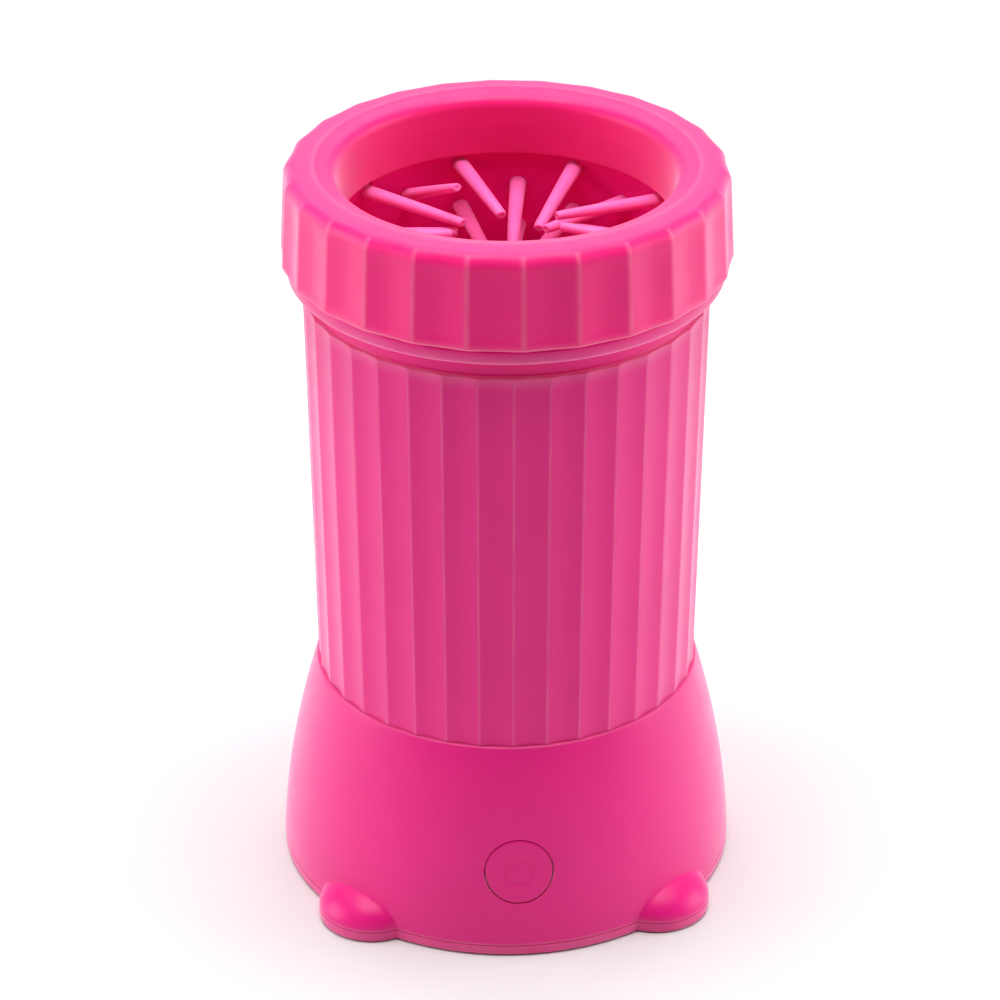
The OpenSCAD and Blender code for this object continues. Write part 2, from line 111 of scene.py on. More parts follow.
BUTTON_Z = (BUTTON_LOW[2] + BUTTON_HIGH[2]) / 2
BUTTON_R = 7.3
BUTTON_GAP = 0.2
POCKET_Y = 47.4           # floor of the pocket round the charge port
PORT_Z = 11.8             # centre of the port

LINER_R = 36.2
LINER_BOTTOM_Z = 64.5
LINER_TOP_Z = 151.1
DRUM_BORE = 37.2
SLOTS_AT = (140, 320)     # degrees, notches in the liner's rim
BRISTLE_ROWS = 16
ROW_BRISTLES = 9
ROW_PITCH = 5.0
FIRST_ROW_Z = 149.0
FIRST_ROW_ANGLE = 22.8    # degrees
BRISTLE_L = 25.0
DROOP = 3.0               # degrees below level
# Bristles bent by use. (row, place in the row): (turned sideways, hanging down) in degrees.
BENT = {
    (0, 0): (1, -4), (0, 1): (5, 8), (0, 2): (5, 3), (0, 3): (1, 2), (0, 4): (4, 1), (0, 8): (-1, -6),
    (1, 0): (1, -5), (1, 1): (1, 7), (1, 2): (-7, -26), (1, 3): (11, -4), (1, 8): (-11, -9),
    (2, 2): (4, -6)}
SHARP_EDGE = 32.0         # degrees. Blunter edges are shaded smooth.


# ---------------------------------------------------------------- small maths

def clamp01(v):
    return max(0.0, min(1.0, v))


def smooth(low, high, v):
    """0 below low, 1 above high, and a soft step between."""
    t = clamp01((v - low) / (high - low))
    return t * t * (3 - 2 * t)


def polar(radius, degrees):
    return radius * math.cos(math.radians(degrees)), radius * math.sin(math.radians(degrees))


def bell_radius(z):
    """Outside radius of the base at a height."""
    return BASE_R - 8.2 * (max(z, 0.0) / BASE_Z) ** 1.75


def scallop(degrees, count, ridge_at, softness):
    """0 on a ridge and 1 at the bottom of the hollow between two ridges."""
    turn = (degrees - ridge_at) * count / 360.0
    from_ridge = 2 * abs(turn - round(turn))
    eased = math.sqrt(from_ridge ** 2 + softness ** 2) - softness
    return 1 - (1 - min(eased, 1.0)) ** 2


def round_corner(here, before, after, fillet):
    """Points of the arc that rounds a corner. before and after lead from it to its neighbours."""
    angle = before.angle(after)
    if fillet <= 0 or angle > math.radians(178):
        return [here]
    reach = min(fillet / math.tan(angle / 2), before.length * 0.48, after.length * 0.48)
    radius = reach * math.tan(angle / 2)
    start = here + before.normalized() * reach
    end = here + after.normalized() * reach
    inwards = (before.normalized() + after.normalized()).normalized()
    middle = here + inwards * (radius / math.sin(angle / 2))
    first = math.atan2(start.y - middle.y, start.x - middle.x)
    sweep = math.atan2(end.y - middle.y, end.x - middle.x) - first
    sweep = (sweep + math.pi) % (2 * math.pi) - math.pi
    steps = max(3, math.ceil(abs(sweep) / math.radians(11)))
    angles = [first + sweep * k / steps for k in range(steps + 1)]
    return [middle + radius * Vector((math.cos(a), math.sin(a))) for a in angles]


def rounded(corners, step=1.5):
    """Points round a closed outline of corners, no further apart than step."""
    points = []
    for i, (r, z, fillet) in enumerate(corners):
        here = Vector((r, z))
        before = Vector(corners[i - 1][:2]) - here
        after = Vector(corners[(i + 1) % len(corners)][:2]) - here
        points += round_corner(here, before, after, fillet)
    dense = []
    for i, p in enumerate(points):
        q = points[(i + 1) % len(points)]
        pieces = max(1, math.ceil((q - p).length / step))
        dense += [p.lerp(q, k / pieces) for k in range(pieces)]
    return dense


# ---------------------------------------------------------------- mesh helpers

def in_scene(name, data):
    """A new object in the scene with this mesh, light or camera."""
    thing = bpy.data.objects.new(name, data)
    bpy.context.scene.collection.objects.link(thing)
    return thing


def mesh_object(name, points, faces, edge_highlight_amounts=None):
    """An object from points in millimetres. The last argument gives the painted edge highlight at each
    point: how much paler the surface is painted there.
    """
    mesh = bpy.data.meshes.new(name)
    mesh.from_pydata([[c * MM for c in p] for p in points], [], faces)
    painted_edge_highlight = mesh.attributes.new("painted_edge_highlight", "FLOAT", "POINT")
    painted_edge_highlight.data.foreach_set("value", edge_highlight_amounts or [0.0] * len(points))
    tidy_mesh(mesh)
    return in_scene(name, mesh)


def tidy_mesh(mesh):
    """Welds the mesh, turns its faces outwards and shades it smooth except along sharp edges."""
    bm = bmesh.new()
    bm.from_mesh(mesh)
    bmesh.ops.remove_doubles(bm, verts=bm.verts, dist=1e-7)
    bmesh.ops.recalc_face_normals(bm, faces=bm.faces)
    bm.to_mesh(mesh)
    bm.free()
    mesh.polygons.foreach_set("use_smooth", [True] * len(mesh.polygons))
    mesh.set_sharp_from_angle(angle=math.radians(SHARP_EDGE))


def turned(name, outline, segments, depth=None, painted_edge_highlight=None):
    """Turns a closed outline about the vertical axis.

    depth(degrees, r, z) sinks the surface. The last argument (degrees, r, z) is 1 on edges that are painted
    paler as a painted highlight.
    """
    points, edge_highlight_amounts = [], []
    for i in range(segments):
        degrees = 360.0 * i / segments
        for r, z in outline:
            sunk = r - depth(degrees, r, z) if depth else r
            points.append((*polar(sunk, degrees), z))
            edge_highlight_amounts.append(painted_edge_highlight(degrees, r, z) if painted_edge_highlight else 0.0)
    n = len(outline)
    faces = []
    for i in range(segments):
        a, b = i * n, (i + 1) % segments * n
        for k in range(n):
            m = (k + 1) % n
            faces.append((a + k, b + k, b + m, a + m))
    return mesh_object(name, points, faces, edge_highlight_amounts)


def turned_solid(name, outline, segments, centre=(0.0, 0.0), placing=None):
    """Turns an open outline, whose ends lie on the axis, into a closed solid, and places it."""
    ring = [p for p in outline if p[0] > 1e-6]
    points = []
    for i in range(segments):
        for r, z in ring:
            x, y = polar(r, 360.0 * i / segments)
            points.append((x, y, z))
    points += [(0, 0, outline[0][1]), (0, 0, outline[-1][1])]
    n = len(ring)
    first, last = len(points) - 2, len(points) - 1
    faces = []
    for i in range(segments):
        a, b = i * n, (i + 1) % segments * n
        faces += [(a + k, b + k, b + k + 1, a + k + 1) for k in range(n - 1)]
        faces += [(first, b, a), (last, a + n - 1, b + n - 1)]
    if placing:
        points = [tuple(placing @ Vector(p)) for p in points]
    points = [(p[0] + centre[0], p[1] + centre[1], p[2]) for p in points]
    return mesh_object(name, points, faces)


def combine(piece, operation, others):
    """Joins other solids to the piece or cuts them out of it, and removes them."""
    for other in others:
        step = piece.modifiers.new("combine", "BOOLEAN")
        step.operation = operation
        step.solver = "EXACT"
        step.object = other
    graph = bpy.context.evaluated_depsgraph_get()
    mesh = bpy.data.meshes.new_from_object(piece.evaluated_get(graph))
    piece.modifiers.clear()
    old = piece.data
    piece.data = mesh
    bpy.data.meshes.remove(old)
    tidy_mesh(mesh)
    for other in others:
        bpy.data.objects.remove(other)


def joined(name, points_and_faces):
    """One object from several lists of points and faces."""
    points, faces = [], []
    for some_points, some_faces in points_and_faces:
        start = len(points)
        points += some_points
        faces += [tuple(start + v for v in f) for f in some_faces]
    return mesh_object(name, points, faces)


def rounded_box(name, low, high, radius, segments=4):
    """A box with rounded edges, between two corners in millimetres."""
    bm = bmesh.new()
    bmesh.ops.create_cube(bm, size=1.0)
    for v in bm.verts:
        for k in range(3):
            v.co[k] = ((low[k] + high[k]) / 2 + v.co[k] * (high[k] - low[k])) * MM
    bmesh.ops.bevel(bm, geom=bm.edges[:], offset=radius * MM, segments=segments,
                    profile=0.5, affect="EDGES")
    mesh = bpy.data.meshes.new(name)
    bm.to_mesh(mesh)
    bm.free()
    tidy_mesh(mesh)
    return in_scene(name, mesh)


# ---------------------------------------------------------------- materials

class Surface:
    """A material with short ways to add nodes and join them."""

    def __init__(self, name):
        self.material = bpy.data.materials.new(name)
        self.material.use_nodes = True
        self.nodes = self.material.node_tree.nodes
        self.links = self.material.node_tree.links
        self.nodes.clear()
        output = self.nodes.new("ShaderNodeOutputMaterial")
        self.shader = self.nodes.new("ShaderNodeBsdfPrincipled")
        self.links.new(self.shader.outputs[0], output.inputs["Surface"])
        self.object_place = self.nodes.new("ShaderNodeTexCoord").outputs["Object"]

    def noise(self, scale, detail, stretch=(1, 1, 1)):
        mapping = self.nodes.new("ShaderNodeMapping")
        mapping.inputs["Scale"].default_value = stretch
        self.links.new(self.object_place, mapping.inputs["Vector"])
        texture = self.nodes.new("ShaderNodeTexNoise")
        texture.inputs["Scale"].default_value = scale
        texture.inputs["Detail"].default_value = detail
        self.links.new(mapping.outputs["Vector"], texture.inputs["Vector"])
        return texture.outputs["Fac"]

    def ramp(self, factor, stops):
        """Colours at positions along a value: stops is a list of (position, colour)."""
        ramp = self.nodes.new("ShaderNodeValToRGB")
        elements = ramp.color_ramp.elements
        while len(elements) < len(stops):
            elements.new(0.5)
        for element, (position, colour) in zip(elements, stops):
            element.position = position
            element.color = (*colour, 1.0)
        self.links.new(factor, ramp.inputs["Fac"])
        return ramp.outputs["Color"]

    def spread(self, factor, low, high):
        """Maps a noise value to a range."""
        node = self.nodes.new("ShaderNodeMapRange")
        node.inputs["From Min"].default_value = 0.3
        node.inputs["From Max"].default_value = 0.7
        node.inputs["To Min"].default_value = low
        node.inputs["To Max"].default_value = high
        self.links.new(factor, node.inputs["Value"])
        return node.outputs["Result"]

    def mix(self, factor, texture, colour):
        """Goes from a texture to a plain colour as the factor goes from 0 to 1."""
        node = self.nodes.new("ShaderNodeMix")
        node.data_type = "RGBA"
        # inputs 6 and 7 and output 2 are the colour ones of the sockets named A, B and Result
        self.links.new(factor, node.inputs[0])
        self.links.new(texture, node.inputs[6])
        node.inputs[7].default_value = (*colour, 1.0)
        return node.outputs[2]

    def bump(self, height, strength, distance, below=None):
        node = self.nodes.new("ShaderNodeBump")
        node.inputs["Strength"].default_value = strength
        node.inputs["Distance"].default_value = distance
        self.links.new(height, node.inputs["Height"])
        if below:
            self.links.new(below, node.inputs["Normal"])
        return node.outputs["Normal"]

    def painted_edge_highlight(self, strength):
        """The painted highlight that the mesh carries along its edges, broken up by noise."""
        edge_highlight_amounts = self.nodes.new("ShaderNodeAttribute")
        edge_highlight_amounts.attribute_name = "painted_edge_highlight"
        product = self.nodes.new("ShaderNodeMath")
        product.operation = "MULTIPLY"
        self.links.new(edge_highlight_amounts.outputs["Fac"], product.inputs[0])
        self.links.new(self.spread(self.noise(110.0, 3.0), 0.5 * strength, strength), product.inputs[1])
        return product.outputs[0]

    def join(self, value, socket):
        self.links.new(value, self.shader.inputs[socket])

    def set(self, values):
        for socket, value in values.items():
            self.shader.inputs[socket].default_value = value


def shade(colour, factor):
    return tuple(clamp01(c * factor) for c in colour)


def halfway_to_white(colour):
    return tuple(c + (1 - c) * 0.5 for c in colour)


def moulded(name, colour, roughness, depth_of_light=0.0, grain=0.35, sheen=0.0):
    """Moulded plastic or silicone: faint mottling, fine grain, and a painted highlight that makes edges
    slightly paler.
    """
    surface = Surface(name)
    mottled = surface.ramp(surface.noise(38.0, 4.0), [
        (0.3, shade(colour, 0.95)), (0.5, colour), (0.72, shade(colour, 1.04))])
    # edges marked in the mesh are painted halfway to white: a painted highlight
    surface.join(surface.mix(surface.painted_edge_highlight(0.22), mottled, halfway_to_white(colour)), "Base Color")
    surface.join(surface.spread(surface.noise(160.0, 5.0), roughness - 0.05, roughness + 0.06),
                 "Roughness")
    fine = surface.bump(surface.noise(2600.0, 2.0), grain, 0.00003)
    surface.join(surface.bump(surface.noise(90.0, 2.0), 0.25, 0.00008, fine), "Normal")
    surface.set({
        "IOR": 1.46, "Specular IOR Level": 0.27,
        "Subsurface Weight": depth_of_light, "Subsurface Scale": 0.004,
        "Subsurface Radius": (1.0, 0.28, 0.5),
        "Sheen Weight": sheen, "Sheen Roughness": 0.48, "Sheen Tint": (1.0, 0.72, 0.95, 1.0)})
    return surface.material


def metal(name, colour, roughness):
    """Turned or drawn metal with fine lines and small stains."""
    surface = Surface(name)
    lines = surface.noise(420.0, 4.0, (1, 1, 18))
    surface.join(surface.ramp(lines, [(0.3, shade(colour, 0.82)), (0.7, colour)]), "Base Color")
    surface.join(surface.spread(surface.noise(120.0, 4.0), roughness - 0.07, roughness + 0.1),
                 "Roughness")
    surface.join(surface.bump(lines, 0.3, 0.00004), "Normal")
    surface.set({"Metallic": 1.0})
    return surface.material


PINK = (0.83, 0.004, 0.22)
SOFT_PINK = (0.90, 0.004, 0.19)
MATERIALS = {
    "cup_plastic": moulded("cup_plastic", PINK, 0.34, 0.1, sheen=0.55),
    "collar_silicone": moulded("collar_silicone", SOFT_PINK, 0.4, 0.15, sheen=0.55),
    "brush_silicone": moulded("brush_silicone", (0.98, 0.005, 0.25), 0.5, 0.2),
    "drum_plastic": moulded("drum_plastic", (0.72, 0.02, 0.17), 0.4, 0.1),
    "nylon": moulded("nylon", (0.78, 0.76, 0.68), 0.5, 0.15),
    "steel": metal("steel", (0.62, 0.62, 0.64), 0.3),
    "bronze": metal("bronze", (0.75, 0.5, 0.24), 0.35),
    "seal_rubber": moulded("seal_rubber", (0.025, 0.025, 0.028), 0.65, grain=0.6),
    "clear_silicone": moulded("clear_silicone", (0.75, 0.75, 0.78), 0.4, 0.3),
    "board": moulded("board", (0.02, 0.16, 0.06), 0.35, grain=0.2),
    "black_plastic": moulded("black_plastic", (0.02, 0.02, 0.022), 0.45),
    "led": moulded("led", (0.9, 0.9, 0.78), 0.2, 0.2),
    "cell_sleeve": moulded("cell_sleeve", (0.05, 0.2, 0.5), 0.25),
    "red_wire": moulded("red_wire", (0.5, 0.015, 0.015), 0.4),
    "black_wire": moulded("black_wire", (0.02, 0.02, 0.024), 0.4),
}
# The bristles are the liner's silicone painted paler, as if lit from above: painted light.
BRISTLE_SILICONE_PAINTED_LIT = moulded("bristle_silicone_painted_lit", (0.95, 0.13, 0.42), 0.42, 0.3, sheen=0.15)


def finish_cad_nodes():
    """Gives every CAD node the material of its slot."""
    for part in frame["record"]["subparts"]:
        node = frame["nodes"][part["node"]]
        node.data.materials.clear()
        node.data.materials.append(MATERIALS[part["material_slot"]])


BODY_OF = {node: body for body, nodes in frame["record"]["behaviour"]["bodies"].items() for node in nodes}


def place(piece, node, slot, material=None):
    """The piece stands for a CAD node: it takes its body and, if no other is given, its slot's material."""
    piece.data.materials.clear()
    piece.data.materials.append(material or MATERIALS[slot])
    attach(piece, BODY_OF[node])
    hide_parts(node)


# ---------------------------------------------------------------- splash collar

def make_collar():
    """The fluted ring: ridged skirt, crowned top, rolled lip and funnel down to the throat."""
    low = COLLAR_LOW[2]
    outline = rounded([
        (43.3, low, 0.3), (COLLAR_R - 0.05, low, 0.8), (46.35, TOP_Z - 0.45, 3.2),
        (LIP_R, TOP_Z, 0.7), (LIP_R - 0.7, TOP_Z - 0.3, 0.7), (35.5, TOP_Z - 1.2, 3.0),
        (THROAT_R + 0.3, 158.0, 3.0), (THROAT_R, THROAT_Z, 0.25), (36.6, THROAT_Z, 0.2),
        (37.2, 155.0, 1.0), (38.6, 160.2, 1.0), (42.0, 160.6, 1.0), (43.3, 158.6, 0.5)], 0.9)

    def flutes(degrees, r, z):
        inside_skirt = r < 44.0 and z < 161.0
        if r < 42.0 or inside_skirt:
            return 0.0
        fade = smooth(42.0, 45.6, r) * (0.5 + 0.5 * smooth(low, low + 3.0, z))
        fade *= 1 - 0.5 * smooth(158.0, TOP_Z, z)
        return COLLAR_DEPTH * fade * scallop(degrees, COLLAR_FLUTES, COLLAR_RIDGE_AT, COLLAR_SOFTNESS)

    # Painted highlight: the ridges, the fine ledge of the lip and the lower edge of the skirt are painted
    # paler.
    def painted_edge_highlight(degrees, r, z):
        if r < 45.0:
            return 0.5 * (1 - smooth(0.2, 0.9, math.hypot(r - LIP_R - 0.3, z - TOP_Z + 0.05)))
        hollow = scallop(degrees, COLLAR_FLUTES, COLLAR_RIDGE_AT, COLLAR_SOFTNESS)
        ridge = 1 - smooth(0.02, 0.14, hollow)
        return max(0.8 * ridge, 1 - smooth(low + 0.5, low + 1.1, z))

    ring = turned("collar_ring", outline, COLLAR_FLUTES * 24, flutes, painted_edge_highlight)
    place(ring, "splash_collar", "collar_silicone")


# ---------------------------------------------------------------- cup

def make_cup():
    """The cup: fluted wall, plain neck, flange under the collar, and its floor."""
    outside = [
        (39.9, CUP_BOTTOM_Z, 0.3), (39.9, SEAM_Z, 0.2), (CUP_LOW_R, SEAM_Z, 0.12),
        (CUP_TOP_R, FLUTE_TOP_Z, 0.45), (NECK_R, FLUTE_TOP_Z + 0.15, 0.5),
        (NECK_R, FLANGE_Z - 0.1, 0.6), (FLANGE_R, FLANGE_Z, 1.0), (FLANGE_R, FLANGE_TOP_Z, 0.5),
        (41.6, FLANGE_TOP_Z, 0.3), (41.6, CUP_RIM_Z, 0.6)]
    inside = [(39.6, CUP_RIM_Z, 0.4), (39.6, FLANGE_TOP_Z, 0), (39.1, CUP_FLOOR_Z, 1.2)]
    hub_boss = [
        (12.0, CUP_FLOOR_Z, 1.0), (11.6, 54.2, 1.0), (6.5, 54.2, 0.5), (6.5, 58.4, 0.4),
        (5.0, 58.4, 0.2), (5.0, 57.0, 0), (4.0, 57.0, 0), (4.0, 52.0, 0.2)]
    underside = [(10.0, 52.0, 0.4), (10.0, 46.4, 0.4), (37.6, 46.4, 0.3), (37.6, CUP_BOTTOM_Z, 0.3)]
    outline = rounded(outside + inside + hub_boss + underside, 2.5)

    def flutes(degrees, r, z):
        if r < 40.4 or not SEAM_Z - 0.05 <= z <= FLUTE_TOP_Z + 0.05:
            return 0.0
        return CUP_DEPTH * scallop(degrees, CUP_FLUTES, CUP_RIDGE_AT, CUP_SOFTNESS)

    # Painted highlight: the flange's edge, the ridges and the top ends of the flutes are painted paler.
    def painted_edge_highlight(degrees, r, z):
        if r < CUP_LOW_R or z > FLUTE_TOP_Z + 0.2:
            return 1 - smooth(0.3, 0.9, math.hypot(r - FLANGE_R, z - FLANGE_Z - 0.5))
        ridge = 1 - smooth(0.01, 0.12, scallop(degrees, CUP_FLUTES, CUP_RIDGE_AT, CUP_SOFTNESS))
        return max(0.8 * ridge, smooth(FLUTE_TOP_Z - 0.7, FLUTE_TOP_Z - 0.3, z))

    place(turned("cup_shell", outline, CUP_FLUTES * 16, flutes, painted_edge_highlight), "cup_body", "cup_plastic")


# ---------------------------------------------------------------- base

def foot_reach(degrees, foot_radius):
    """How far from the axis a round foot reaches in a direction; 0 where it isn't."""
    reach = 0.0
    for side in (-1, 1):
        away = math.radians(degrees - (-90 + side * FOOT_ANGLE))
        half_chord_squared = foot_radius ** 2 - (FOOT_OUT * math.sin(away)) ** 2
        if half_chord_squared > 0 and math.cos(away) > 0:
            reach = max(reach, FOOT_OUT * math.cos(away) + math.sqrt(half_chord_squared))
    return reach


def foot_section(z):
    """Radius of a foot at a height: upright at the bottom, then an elliptic dome."""
    up = (z - COVER_TOP) / (FOOT_TOP - COVER_TOP)
    return FOOT_R * math.sqrt(max(1 - max(up, 0.0) ** 2, 0.0))


def soft_max(a, b, blend):
    """The larger of two values, with a small fillet where they are nearly equal."""
    near = max(blend - abs(a - b), 0.0) / blend
    return max(a, b) + near ** 2 * blend / 4


def make_base():
    """The bell shaped housing with its feet, its button hole and the pocket of the charge port."""
    edge = 0.28
    heights = [COVER_TOP + edge]
    while heights[-1] < BASE_Z - 2:
        on_the_feet = heights[-1] < 10
        heights.append(heights[-1] + (0.2 if on_the_feet else 1.5))
    outer = [(bell_radius(z), z, 0) for z in heights]
    inner_heights = [COVER_TOP + (DECK_UNDER_Z - COVER_TOP) * k / 12 for k in range(12, -1, -1)]
    inner = [(bell_radius(z) - WALL, z, 0) for z in inner_heights]
    socket = [
        (bell_radius(BASE_Z) - 0.05, BASE_Z, 0.5), (40.2, BASE_Z, 0.3), (40.2, DECK_Z, 0.4),
        (5.0, DECK_Z, 0.2), (5.0, DECK_UNDER_Z, 0)]
    bottom = [(bell_radius(COVER_TOP) - edge, COVER_TOP, 0)]
    outline = rounded(bottom + outer + socket + inner, 2.2)

    def feet(degrees, r, z):
        bell = bell_radius(z)
        if z > FOOT_TOP or r < bell - 0.6:
            return 0.0
        return bell - soft_max(bell, foot_reach(degrees, foot_section(z)), 0.4)

    # Painted highlight: the lowest edge and the top rim of the housing are painted paler.
    def painted_edge_highlight(degrees, r, z):
        if r < bell_radius(z) - 0.6:
            return 0.0
        return max(1 - smooth(COVER_TOP + 0.3, COVER_TOP + 0.8, z),
                   0.6 * smooth(BASE_Z - 0.4, BASE_Z - 0.1, z))

    base = turned("base_shell", outline, 720, feet, painted_edge_highlight)
    # the wall is thicker behind the pocket, which would break through it
    backing = rounded_box("backing", (-8.0, 45.2, COVER_TOP + 1.0), (8.0, 47.9, 14.5), 0.3)
    combine(base, "UNION", [backing])
    hole = [(0, 38.0), (BUTTON_R + BUTTON_GAP, 38.0), (BUTTON_R + BUTTON_GAP, 56.0), (0, 56.0)]
    towards_front = Matrix.Translation((0, 0, BUTTON_Z)) @ Matrix.Rotation(math.radians(90), 4, "X")
    button_hole = turned_solid("hole", hole, 180, placing=towards_front)
    pocket = rounded_box("pocket", (PLUG_LOW[0] - 1.4, POCKET_Y, PLUG_LOW[2] - 0.3),
                         (PLUG_HIGH[0] + 0.3, 56.0, PLUG_HIGH[2] + 0.3), 0.8)
    opening = rounded_box("opening", (-4.7, 43.0, PORT_Z - 1.8), (4.7, 52.0, PORT_Z + 1.8), 1.4)
    combine(base, "DIFFERENCE", [button_hole, pocket, opening])
    place(base, "base_housing", "cup_plastic")


def make_cover():
    """The bottom plate, which follows the outline of the base and its feet."""
    low, high, edge = COVER_LOW[2], COVER_TOP, bell_radius(COVER_TOP)
    outline = rounded([(30.0, low, 0), (edge, low, 0.7), (edge, high, 0.25), (30.0, high, 0),
                       (8.0, high, 0), (8.0, low, 0)], 2.0)

    def feet(degrees, r, z):
        if r < edge - 1.0:
            return 0.0
        return edge - soft_max(edge, foot_reach(degrees, FOOT_R), 0.4)

    # Painted highlight: the cover's rim is painted paler, standing in for light bounced up from the pale
    # floor.
    def painted_edge_highlight(degrees, r, z):
        return 0.7 * smooth(edge - 0.6, edge - 0.1, r)

    cover = turned("cover_plate", outline, 720, feet, painted_edge_highlight)
    middle = turned_solid("middle", [(0, low), (9.0, low), (9.0, high), (0, high)], 96)
    combine(cover, "UNION", [middle])
    groove = turned("groove", [(33.5, -1), (37.5, -1), (37.5, 1.2), (33.5, 1.2)], 180)
    hole = [(0, -1), (2.6, -1), (2.6, 2.35), (0, 2.35)]
    holes = [turned_solid("screw", hole, 48, centre=at) for at in SCREWS_AT]
    combine(cover, "DIFFERENCE", [groove] + holes)
    place(cover, "bottom_cover", "cup_plastic")


# ---------------------------------------------------------------- button

def make_button():
    """The round button: its face follows the bell, with an engraved ring and bar."""
    rings, spokes = 72, 180
    edge = 0.45
    back_y = -42.75

    def engraved(x, z):
        """How far the on/off sign is sunk at a point of the face."""
        r = math.hypot(x, z)
        from_top = abs(math.degrees(math.atan2(x, z)))
        ring = (1 - smooth(0.35, 0.55, abs(r - 2.65))) * smooth(22, 29, from_top)
        bar = (1 - smooth(0.38, 0.56, abs(x))) * (1 - smooth(1.3, 1.5, abs(z - 2.35)))
        return 0.1 * max(ring, bar)

    circle = [polar(1.0, 360 * i / spokes) for i in range(spokes)]
    points = [(0.0, -bell_radius(BUTTON_Z), BUTTON_Z)]
    for k in range(1, rings + 1):
        r = BUTTON_R * k / rings
        drop = edge - math.sqrt(max(edge ** 2 - max(r - BUTTON_R + edge, 0) ** 2, 0))
        for x, z in [(r * cx, r * cz) for cx, cz in circle]:
            front = math.sqrt(bell_radius(BUTTON_Z + z) ** 2 - x ** 2)
            points.append((x, -front + drop + engraved(x, z) + 0.04, BUTTON_Z + z))
    flange_r, stem_r = BUTTON_R + 1.4, 1.8
    behind = [(BUTTON_R, -44.2), (flange_r, -44.2), (flange_r, -43.2), (stem_r, -43.2), (stem_r, back_y)]
    for r, y in behind:
        points += [(r * cx, y, BUTTON_Z + r * cz) for cx, cz in circle]
    points.append((0.0, back_y, BUTTON_Z))
    faces = [(0, 1 + i, 1 + (i + 1) % spokes) for i in range(spokes)]
    for k in range(rings + len(behind) - 1):
        a, b = 1 + k * spokes, 1 + (k + 1) * spokes
        faces += [(a + i, b + i, b + (i + 1) % spokes, a + (i + 1) % spokes) for i in range(spokes)]
    last = 1 + (rings + len(behind) - 1) * spokes
    faces += [(len(points) - 1, last + (i + 1) % spokes, last + i) for i in range(spokes)]
    place(mesh_object("button_cap", points, faces), "power_button", "cup_plastic")


# ---------------------------------------------------------------- brush

def bristle(root, direction, length, sag, sides=16):
    """Points and faces of one tapered, slightly flattened bristle with a blunt, dimpled tip."""
    base_r, taper, flatness = 1.82, 0.62, 0.78
    side = direction.cross(Vector((0, 0, 1))).normalized()
    up = side.cross(direction).normalized()
    root_flare = [(-1.0, 1.95), (0.35, 1.88), (0.9, base_r)]
    shaft = [(length * t, base_r - taper * t) for t in (0.15, 0.3, 0.45, 0.6, 0.75, 0.9)]
    tip = [(length - 0.4, 1.17), (length - 0.12, 1.08), (length, 0.86), (length, 0.6),
           (length - 0.12, 0.4)]
    stations = root_flare + shaft + tip
    points = []
    for along, radius in stations:
        middle = root + direction * along + Vector((0, 0, -sag * (max(along, 0) / length) ** 2))
        for k in range(sides):
            a = 2 * math.pi * k / sides
            points.append(tuple(middle + radius * (math.cos(a) * side + flatness * math.sin(a) * up)))
    points.append(tuple(root - direction * 1.0))
    points.append(tuple(root + direction * (length - 0.16) + Vector((0, 0, -sag))))
    n = len(stations)
    faces = [(s * sides + k, s * sides + (k + 1) % sides, (s + 1) * sides + (k + 1) % sides,
              (s + 1) * sides + k) for s in range(n - 1) for k in range(sides)]
    faces += [(n * sides, (k + 1) % sides, k) for k in range(sides)]
    faces += [(n * sides + 1, (n - 1) * sides + k, (n - 1) * sides + (k + 1) % sides)
              for k in range(sides)]
    return points, faces


def make_liner():
    """The silicone liner of the drum, with its rows of bristles."""
    outside_r, rim_r, rim_under_z = DRUM_BORE - 0.05, 38.4, LINER_TOP_Z - 1.0
    outline = rounded([
        (LINER_R, LINER_BOTTOM_Z, 0.2), (outside_r, LINER_BOTTOM_Z, 0.2), (outside_r, rim_under_z, 0),
        (rim_r, rim_under_z, 0.2), (rim_r, LINER_TOP_Z, 0.35), (LINER_R, LINER_TOP_Z, 0.35)], 3.0)
    wall = turned("liner_wall", outline, 240)
    slots = []
    for angle in SLOTS_AT:
        slot = rounded_box("slot", (34.0, -0.6, 147.6), (40.0, 0.6, 153.0), 0.4, 3)
        slot.data.transform(Matrix.Rotation(math.radians(angle), 4, "Z"))
        slots.append(slot)
    combine(wall, "DIFFERENCE", slots)
    place(wall, "bristle_liner", "brush_silicone")

    made = []
    sway = random.Random(5)
    for row in range(BRISTLE_ROWS):
        for i in range(ROW_BRISTLES):
            angle = FIRST_ROW_ANGLE + (i + row / 2) * 360 / ROW_BRISTLES
            own_turn, own_lean = sway.uniform(-4, 4), DROOP + sway.uniform(-5, 5)
            turn, lean = BENT.get((row, i), (own_turn, own_lean))
            x, y = polar(math.cos(math.radians(lean)), angle + turn)
            direction = Vector((-x, -y, -math.sin(math.radians(lean))))
            rx, ry = polar(LINER_R + 0.1, angle)
            root = Vector((rx, ry, FIRST_ROW_Z - row * ROW_PITCH))
            made.append(bristle(root, direction, BRISTLE_L, 0.3))
    bristles = joined("bristle_rows", made)
    # the bristles take the paler, painted-lit copy of the liner's silicone
    place(bristles, "bristle_liner", "brush_silicone", BRISTLE_SILICONE_PAINTED_LIT)


# ---------------------------------------------------------------- charge port plug

